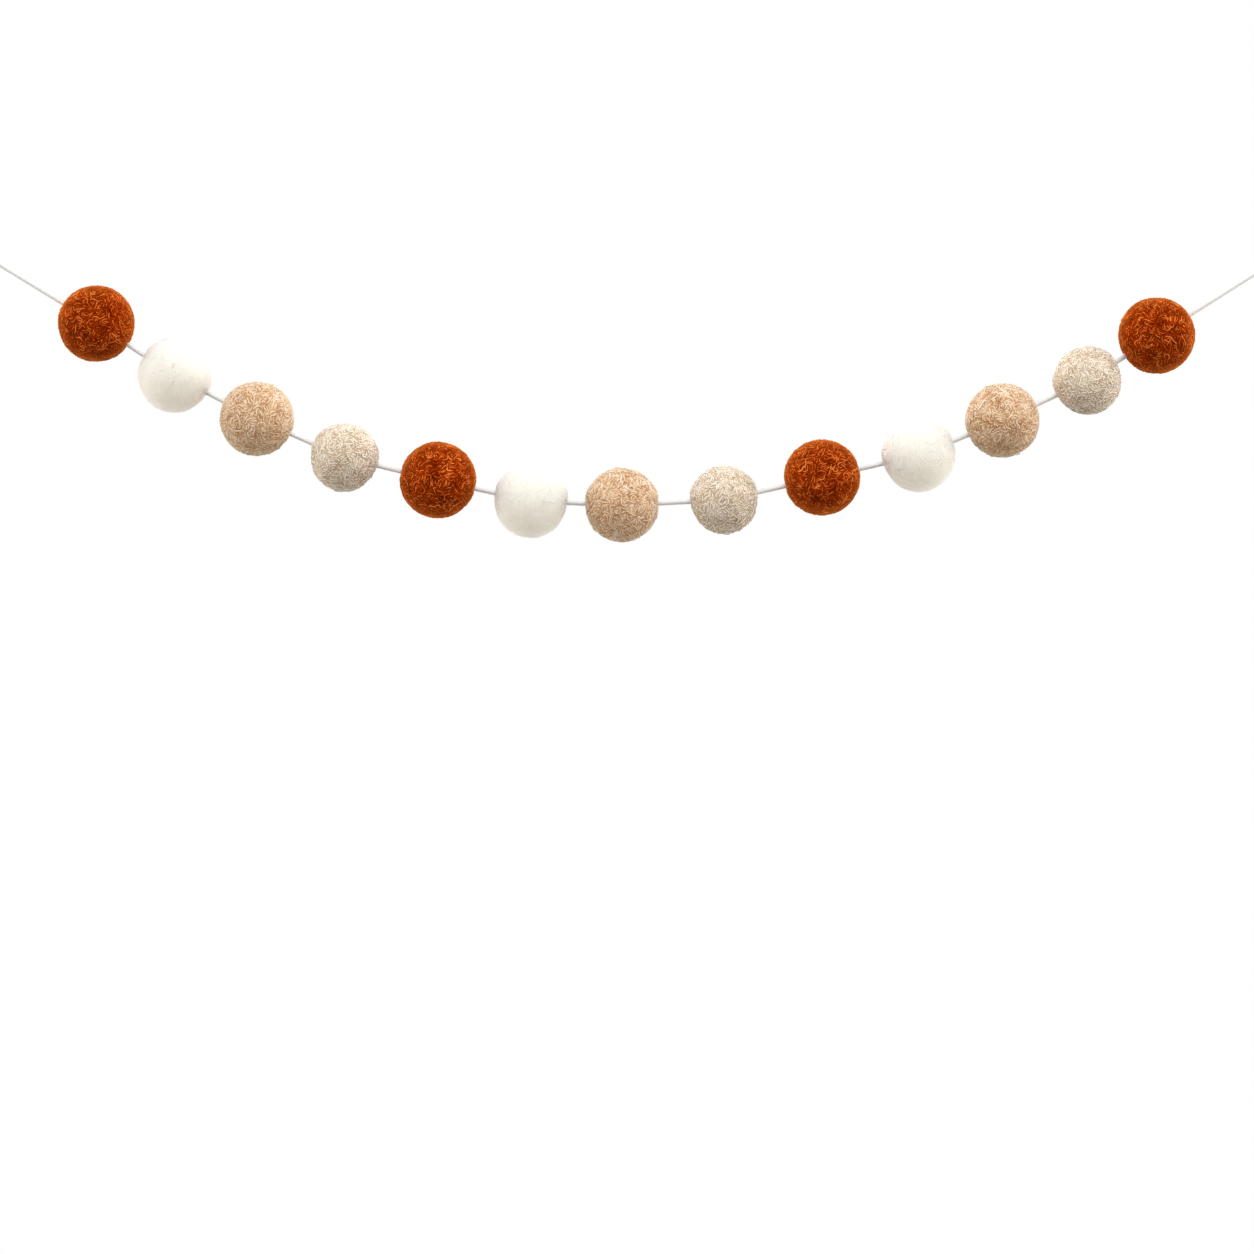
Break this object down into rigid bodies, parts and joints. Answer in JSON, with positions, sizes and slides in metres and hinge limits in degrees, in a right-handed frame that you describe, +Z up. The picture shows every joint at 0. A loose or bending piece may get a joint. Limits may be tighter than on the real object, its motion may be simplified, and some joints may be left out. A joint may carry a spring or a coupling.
{
  "type": "felt ball garland",
  "caption": "Garland of hand-rolled wool felt balls in rust, white, tan and oatmeal, threaded on a white cotton cord with a tied hanging loop at each end.",
  "frame": {"origin": "the point inside the left hanging loop where a nail or hook bears", "axes": "+X to the right along the garland, towards the right hanging loop; +Y away from the viewer, into the wall; +Z up. Front view looks along +Y."},
  "size_m": [0.4879, 0.0257, 0.1159],
  "materials": {
    "felt_rust": "matt needled wool",
    "felt_white": "matt needled wool",
    "felt_tan": "matt needled wool",
    "felt_oatmeal": "matt needled wool",
    "cotton_cord": "matt twisted cotton"
  },
  "bodies": {
    "root": {"ball_01": "felt_rust", "ball_02": "felt_white", "ball_03": "felt_tan", "ball_04": "felt_oatmeal", "ball_05": "felt_rust", "ball_06": "felt_white", "ball_07": "felt_tan", "ball_08": "felt_oatmeal", "ball_09": "felt_rust", "ball_10": "felt_white", "ball_11": "felt_tan", "ball_12": "felt_oatmeal", "ball_13": "felt_rust", "cord": "cotton_cord", "loop_left": "cotton_cord", "loop_right": "cotton_cord"}
  },
  "joints": []
}
